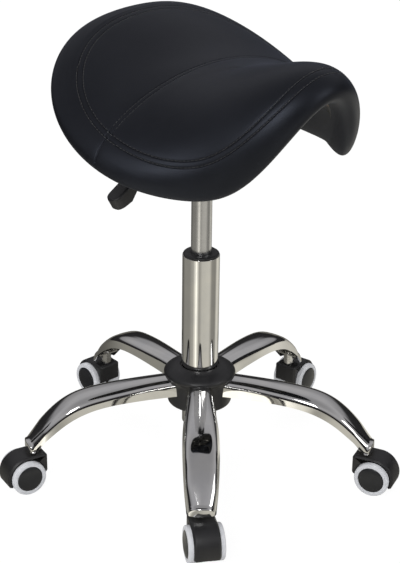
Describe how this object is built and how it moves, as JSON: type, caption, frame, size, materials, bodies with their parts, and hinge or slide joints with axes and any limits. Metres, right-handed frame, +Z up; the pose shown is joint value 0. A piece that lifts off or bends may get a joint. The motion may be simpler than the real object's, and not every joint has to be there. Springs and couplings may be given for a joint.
{
  "type": "saddle stool",
  "caption": "Rolling saddle stool: padded black saddle seat on a gas-lift column with side lever, chromed star base and twin-wheel castors.",
  "frame": {"origin": "on the floor, on the column's axis", "axes": "+Z up along the column, the pommel of the saddle faces -Y, the lift lever is on the -X side"},
  "size_m": [0.5432, 0.5395, 0.6301],
  "materials": {
    "chrome_base": "polished",
    "bright_tube": "satin",
    "bright_steel": "zinc plated",
    "black_steel": "satin black paint",
    "black_plastic": "satin moulded",
    "grey_tread": "smooth soft polyurethane",
    "rubber": "matt",
    "plywood": "bare moulded plywood",
    "black_leather": "soft satin sheen"
  },
  "bodies": {
    "base": {"base_arm_1": "chrome_base", "base_arm_2": "chrome_base", "base_arm_3": "chrome_base", "base_arm_4": "chrome_base", "base_arm_5": "chrome_base", "hub_core": "bright_steel", "hub_cover": "black_plastic", "castor_sockets": "bright_steel", "castor_stems": "bright_steel", "outer_column": "chrome_base", "guide_bush": "black_plastic", "thrust_bearing": "bright_steel", "rubber_buffer": "rubber"},
    "rod": {"piston_rod": "bright_steel", "piston": "bright_steel", "retaining_clip": "bright_steel"},
    "seat": {"pressure_tube": "bright_tube", "rod_guide": "black_plastic", "valve_seat": "bright_steel", "taper_socket": "black_steel", "mechanism_plate": "black_steel", "mounting_bolts": "bright_steel", "spacer_block": "plywood", "seat_pan": "plywood", "seat_cushion": "black_leather", "underside_cover": "black_plastic", "lever_pivot": "bright_steel"},
    "lever": {"lever_rod": "black_steel", "lever_paddle": "black_plastic"},
    "release": {"release_pin": "bright_steel"},
    "castor_1": {"castor_housing_1": "black_plastic", "castor_axle_1": "bright_steel"},
    "wheel_left_1": {"wheel_left_1": "black_plastic", "tread_left_1": "grey_tread"},
    "wheel_right_1": {"wheel_right_1": "black_plastic", "tread_right_1": "grey_tread"},
    "castor_2": {"castor_housing_2": "black_plastic", "castor_axle_2": "bright_steel"},
    "wheel_left_2": {"wheel_left_2": "black_plastic", "tread_left_2": "grey_tread"},
    "wheel_right_2": {"wheel_right_2": "black_plastic", "tread_right_2": "grey_tread"},
    "castor_3": {"castor_housing_3": "black_plastic", "castor_axle_3": "bright_steel"},
    "wheel_left_3": {"wheel_left_3": "black_plastic", "tread_left_3": "grey_tread"},
    "wheel_right_3": {"wheel_right_3": "black_plastic", "tread_right_3": "grey_tread"},
    "castor_4": {"castor_housing_4": "black_plastic", "castor_axle_4": "bright_steel"},
    "wheel_left_4": {"wheel_left_4": "black_plastic", "tread_left_4": "grey_tread"},
    "wheel_right_4": {"wheel_right_4": "black_plastic", "tread_right_4": "grey_tread"},
    "castor_5": {"castor_housing_5": "black_plastic", "castor_axle_5": "bright_steel"},
    "wheel_left_5": {"wheel_left_5": "black_plastic", "tread_left_5": "grey_tread"},
    "wheel_right_5": {"wheel_right_5": "black_plastic", "tread_right_5": "grey_tread"}
  },
  "joints": [
    {"name": "seat_swivel", "type": "hinge", "parent": "base", "child": "rod", "pos_m": [0, 0, 0.1], "axis": [0, 0, 1], "continuous": true},
    {"name": "seat_lift", "type": "slide", "parent": "rod", "child": "seat", "axis": [0, 0, 1], "range_m": [-0.135, 0.005]},
    {"name": "lever", "type": "hinge", "parent": "seat", "child": "lever", "pos_m": [-0.03, 0, 0.5003], "axis": [0, 1, 0], "range_deg": [0, 8], "stiffness_Nm_per_rad": 3, "springref_deg": -8.59},
    {"name": "release_press", "type": "slide", "parent": "seat", "child": "release", "axis": [0, 0, 1], "range_m": [-0.0045, 0]},
    {"name": "castor_swivel_1", "type": "hinge", "parent": "base", "child": "castor_1", "pos_m": [-0.16311, -0.1689, 0.05], "axis": [0, 0, 1], "continuous": true},
    {"name": "wheel_spin_left_1", "type": "hinge", "parent": "castor_1", "child": "wheel_left_1", "pos_m": [-0.17406, -0.18551, 0.0243], "axis": [0.8348, -0.5505, 0], "continuous": true},
    {"name": "wheel_spin_right_1", "type": "hinge", "parent": "castor_1", "child": "wheel_right_1", "pos_m": [-0.17406, -0.18551, 0.0243], "axis": [0.8348, -0.5505, 0], "continuous": true},
    {"name": "castor_swivel_2", "type": "hinge", "parent": "base", "child": "castor_2", "pos_m": [0.11023, -0.20732, 0.05], "axis": [0, 0, 1], "continuous": true},
    {"name": "wheel_spin_left_2", "type": "hinge", "parent": "castor_2", "child": "wheel_left_2", "pos_m": [0.11727, -0.22593, 0.0243], "axis": [0.9354, 0.3535, 0], "continuous": true},
    {"name": "wheel_spin_right_2", "type": "hinge", "parent": "castor_2", "child": "wheel_right_2", "pos_m": [0.11727, -0.22593, 0.0243], "axis": [0.9354, 0.3535, 0], "continuous": true},
    {"name": "castor_swivel_3", "type": "hinge", "parent": "base", "child": "castor_3", "pos_m": [0.23123, 0.04077, 0.05], "axis": [0, 0, 1], "continuous": true},
    {"name": "wheel_spin_left_3", "type": "hinge", "parent": "castor_3", "child": "wheel_left_3", "pos_m": [0.25089, 0.04389, 0.0243], "axis": [-0.1564, 0.9877, 0], "continuous": true},
    {"name": "wheel_spin_right_3", "type": "hinge", "parent": "castor_3", "child": "wheel_right_3", "pos_m": [0.25089, 0.04389, 0.0243], "axis": [-0.1564, 0.9877, 0], "continuous": true},
    {"name": "castor_swivel_4", "type": "hinge", "parent": "base", "child": "castor_4", "pos_m": [0.03268, 0.23251, 0.05], "axis": [0, 0, 1], "continuous": true},
    {"name": "wheel_spin_left_4", "type": "hinge", "parent": "castor_4", "child": "wheel_left_4", "pos_m": [0.03341, 0.2524, 0.0243], "axis": [-0.9993, 0.0366, 0], "continuous": true},
    {"name": "wheel_spin_right_4", "type": "hinge", "parent": "castor_4", "child": "wheel_right_4", "pos_m": [0.03341, 0.2524, 0.0243], "axis": [-0.9993, 0.0366, 0], "continuous": true},
    {"name": "castor_swivel_5", "type": "hinge", "parent": "base", "child": "castor_5", "pos_m": [-0.21104, 0.10293, 0.05], "axis": [0, 0, 1], "continuous": true},
    {"name": "wheel_spin_left_5", "type": "hinge", "parent": "castor_5", "child": "wheel_left_5", "pos_m": [-0.23034, 0.10778, 0.0243], "axis": [-0.2436, -0.9699, 0], "continuous": true},
    {"name": "wheel_spin_right_5", "type": "hinge", "parent": "castor_5", "child": "wheel_right_5", "pos_m": [-0.23034, 0.10778, 0.0243], "axis": [-0.2436, -0.9699, 0], "continuous": true}
  ],
  "couplings": [
    {"joint": "release_press", "follows": "lever", "m_per_rad": -0.03}
  ]
}
